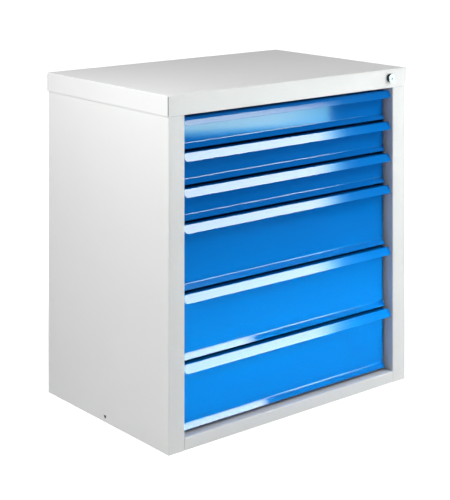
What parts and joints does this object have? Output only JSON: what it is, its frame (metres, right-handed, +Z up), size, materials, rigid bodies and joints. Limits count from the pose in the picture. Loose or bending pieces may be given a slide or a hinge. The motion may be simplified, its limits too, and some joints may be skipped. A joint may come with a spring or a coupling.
{
  "type": "drawer cabinet",
  "caption": "Sheet-steel workshop cabinet with full-width blue drawers on telescopic slides, folded lip handles and one cylinder lock that bars all drawers.",
  "frame": {"origin": "Centre of the footprint at floor level: the bottom centre of the box round the whole cabinet, lock head and cover included.", "axes": "+Z is up, +X is to the right when facing the drawers, and the drawers open towards -Y."},
  "size_m": [0.764, 0.512, 0.8],
  "materials": {
    "cabinet_paint": "light grey satin powder coat",
    "drawer_paint": "blue gloss powder coat",
    "zinc": "bright zinc plate",
    "lock_chrome": "polished chrome plate"
  },
  "bodies": {
    "cabinet": {"back_panel": "cabinet_paint", "bar_guides": "zinc", "base_pan": "cabinet_paint", "drawer_1_outer_slides": "zinc", "drawer_2_outer_slides": "zinc", "drawer_3_outer_slides": "zinc", "drawer_4_outer_slides": "zinc", "drawer_5_outer_slides": "zinc", "drawer_6_outer_slides": "zinc", "left_front_post": "zinc", "left_rear_post": "zinc", "left_side_panel": "cabinet_paint", "lock_housing": "lock_chrome", "lock_nut": "lock_chrome", "right_front_post": "zinc", "right_rear_post": "zinc", "right_side_panel": "cabinet_paint", "top_cover": "cabinet_paint", "top_front_rail": "cabinet_paint"},
    "drawer_1": {"drawer_1_front": "drawer_paint", "drawer_1_tray": "drawer_paint", "drawer_1_catch": "zinc", "drawer_1_inner_slides": "zinc"},
    "drawer_1_middle": {"drawer_1_middle_slides": "zinc"},
    "drawer_2": {"drawer_2_front": "drawer_paint", "drawer_2_tray": "drawer_paint", "drawer_2_catch": "zinc", "drawer_2_inner_slides": "zinc"},
    "drawer_2_middle": {"drawer_2_middle_slides": "zinc"},
    "drawer_3": {"drawer_3_front": "drawer_paint", "drawer_3_tray": "drawer_paint", "drawer_3_catch": "zinc", "drawer_3_inner_slides": "zinc"},
    "drawer_3_middle": {"drawer_3_middle_slides": "zinc"},
    "drawer_4": {"drawer_4_front": "drawer_paint", "drawer_4_tray": "drawer_paint", "drawer_4_catch": "zinc", "drawer_4_inner_slides": "zinc"},
    "drawer_4_middle": {"drawer_4_middle_slides": "zinc"},
    "drawer_5": {"drawer_5_front": "drawer_paint", "drawer_5_tray": "drawer_paint", "drawer_5_catch": "zinc", "drawer_5_inner_slides": "zinc"},
    "drawer_5_middle": {"drawer_5_middle_slides": "zinc"},
    "drawer_6": {"drawer_6_front": "drawer_paint", "drawer_6_tray": "drawer_paint", "drawer_6_catch": "zinc", "drawer_6_inner_slides": "zinc"},
    "drawer_6_middle": {"drawer_6_middle_slides": "zinc"},
    "lock_plug": {"lock_plug": "lock_chrome", "lock_cam": "zinc", "cam_screw": "zinc"},
    "lock_bar": {"lock_bar": "zinc"}
  },
  "joints": [
    {"name": "drawer_1_slide", "type": "slide", "parent": "cabinet", "child": "drawer_1", "axis": [0, -1, 0], "range_m": [0, 0.43]},
    {"name": "drawer_1_middle_slide", "type": "slide", "parent": "cabinet", "child": "drawer_1_middle", "axis": [0, -1, 0], "range_m": [0, 0.215]},
    {"name": "drawer_2_slide", "type": "slide", "parent": "cabinet", "child": "drawer_2", "axis": [0, -1, 0], "range_m": [0, 0.43]},
    {"name": "drawer_2_middle_slide", "type": "slide", "parent": "cabinet", "child": "drawer_2_middle", "axis": [0, -1, 0], "range_m": [0, 0.215]},
    {"name": "drawer_3_slide", "type": "slide", "parent": "cabinet", "child": "drawer_3", "axis": [0, -1, 0], "range_m": [0, 0.43]},
    {"name": "drawer_3_middle_slide", "type": "slide", "parent": "cabinet", "child": "drawer_3_middle", "axis": [0, -1, 0], "range_m": [0, 0.215]},
    {"name": "drawer_4_slide", "type": "slide", "parent": "cabinet", "child": "drawer_4", "axis": [0, -1, 0], "range_m": [0, 0.43]},
    {"name": "drawer_4_middle_slide", "type": "slide", "parent": "cabinet", "child": "drawer_4_middle", "axis": [0, -1, 0], "range_m": [0, 0.215]},
    {"name": "drawer_5_slide", "type": "slide", "parent": "cabinet", "child": "drawer_5", "axis": [0, -1, 0], "range_m": [0, 0.43]},
    {"name": "drawer_5_middle_slide", "type": "slide", "parent": "cabinet", "child": "drawer_5_middle", "axis": [0, -1, 0], "range_m": [0, 0.215]},
    {"name": "drawer_6_slide", "type": "slide", "parent": "cabinet", "child": "drawer_6", "axis": [0, -1, 0], "range_m": [0, 0.43]},
    {"name": "drawer_6_middle_slide", "type": "slide", "parent": "cabinet", "child": "drawer_6_middle", "axis": [0, -1, 0], "range_m": [0, 0.215]},
    {"name": "lock_bar_lift", "type": "slide", "parent": "cabinet", "child": "lock_bar", "axis": [0, 0, 1], "range_m": [0, 0.00905]},
    {"name": "lock_turn", "type": "hinge", "parent": "cabinet", "child": "lock_plug", "pos_m": [0.322, -0.256, 0.778], "axis": [0, -1, 0], "range_deg": [0, 90]}
  ],
  "couplings": [
    {"joint": "drawer_1_middle_slide", "follows": "drawer_1_slide", "ratio": 0.5},
    {"joint": "drawer_2_middle_slide", "follows": "drawer_2_slide", "ratio": 0.5},
    {"joint": "drawer_3_middle_slide", "follows": "drawer_3_slide", "ratio": 0.5},
    {"joint": "drawer_4_middle_slide", "follows": "drawer_4_slide", "ratio": 0.5},
    {"joint": "drawer_5_middle_slide", "follows": "drawer_5_slide", "ratio": 0.5},
    {"joint": "drawer_6_middle_slide", "follows": "drawer_6_slide", "ratio": 0.5},
    {"joint": "lock_turn", "follows": "lock_bar_lift", "rad_per_m": 173.5}
  ]
}
